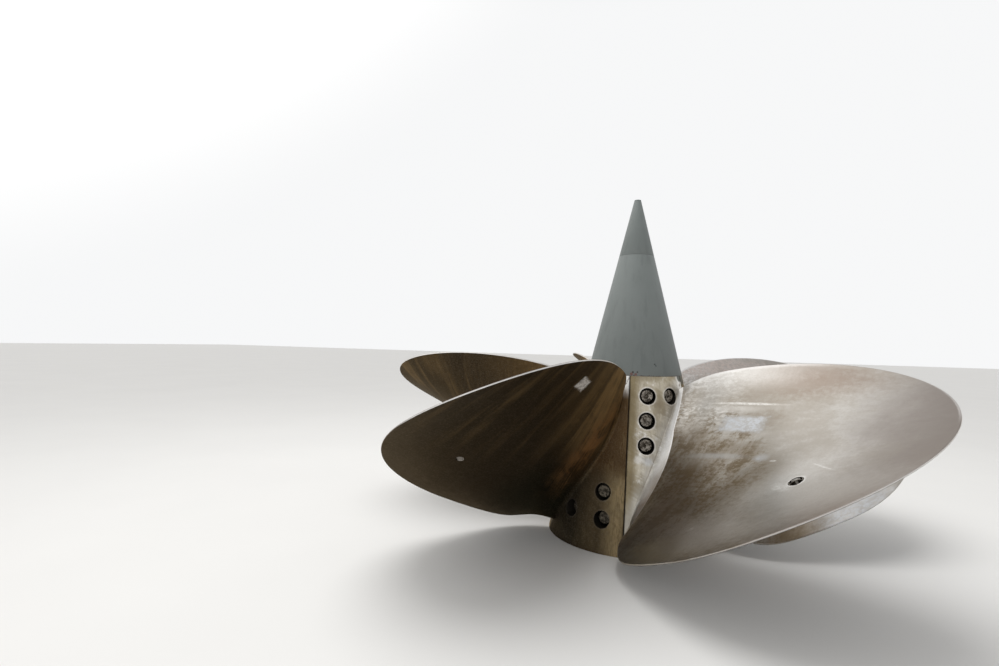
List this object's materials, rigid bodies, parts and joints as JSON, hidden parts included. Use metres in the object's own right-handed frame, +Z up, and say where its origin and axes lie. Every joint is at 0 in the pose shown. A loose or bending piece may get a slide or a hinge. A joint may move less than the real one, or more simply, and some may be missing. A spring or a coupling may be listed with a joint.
{
  "type": "ship propeller",
  "caption": "Built-up ship propeller with bolted-on blades on a conical hub, standing on the hub's wide end and topped by a sheet-steel cone.",
  "frame": {"origin": "centre of the hub's round foot, on the ground", "axes": "+Z up along the shaft axis, -Y at the palm seam that faces the picture's camera, +Y along the middle of the rear blade's palm"},
  "size_m": [4.6231, 4.5885, 2.9004],
  "materials": {
    "blade_steel": "weathered cast stainless steel, ground smooth, stained brown towards the roots",
    "bolt_steel": "dull steel, dark in the recess",
    "core_steel": "plain cast steel",
    "cone_paint": "matt grey paint on rolled sheet steel"
  },
  "bodies": {
    "root": {"blade_1": "blade_steel", "blade_1_bolt_1": "bolt_steel", "blade_1_bolt_2": "bolt_steel", "blade_1_bolt_3": "bolt_steel", "blade_1_bolt_4": "bolt_steel", "blade_1_bolt_5": "bolt_steel", "blade_1_bolt_6": "bolt_steel", "blade_1_bolt_7": "bolt_steel", "blade_2": "blade_steel", "blade_2_bolt_1": "bolt_steel", "blade_2_bolt_2": "bolt_steel", "blade_2_bolt_3": "bolt_steel", "blade_2_bolt_4": "bolt_steel", "blade_2_bolt_5": "bolt_steel", "blade_2_bolt_6": "bolt_steel", "blade_2_bolt_7": "bolt_steel", "blade_3": "blade_steel", "blade_3_bolt_1": "bolt_steel", "blade_3_bolt_2": "bolt_steel", "blade_3_bolt_3": "bolt_steel", "blade_3_bolt_4": "bolt_steel", "blade_3_bolt_5": "bolt_steel", "blade_3_bolt_6": "bolt_steel", "blade_3_bolt_7": "bolt_steel", "blade_4": "blade_steel", "blade_4_bolt_1": "bolt_steel", "blade_4_bolt_2": "bolt_steel", "blade_4_bolt_3": "bolt_steel", "blade_4_bolt_4": "bolt_steel", "blade_4_bolt_5": "bolt_steel", "blade_4_bolt_6": "bolt_steel", "blade_4_bolt_7": "bolt_steel", "blade_5": "blade_steel", "blade_5_bolt_1": "bolt_steel", "blade_5_bolt_2": "bolt_steel", "blade_5_bolt_3": "bolt_steel", "blade_5_bolt_4": "bolt_steel", "blade_5_bolt_5": "bolt_steel", "blade_5_bolt_6": "bolt_steel", "blade_5_bolt_7": "bolt_steel", "hub_core": "core_steel", "cone_lower_section": "cone_paint", "cone_upper_section": "cone_paint", "cone_tip_cap": "cone_paint"}
  },
  "joints": []
}
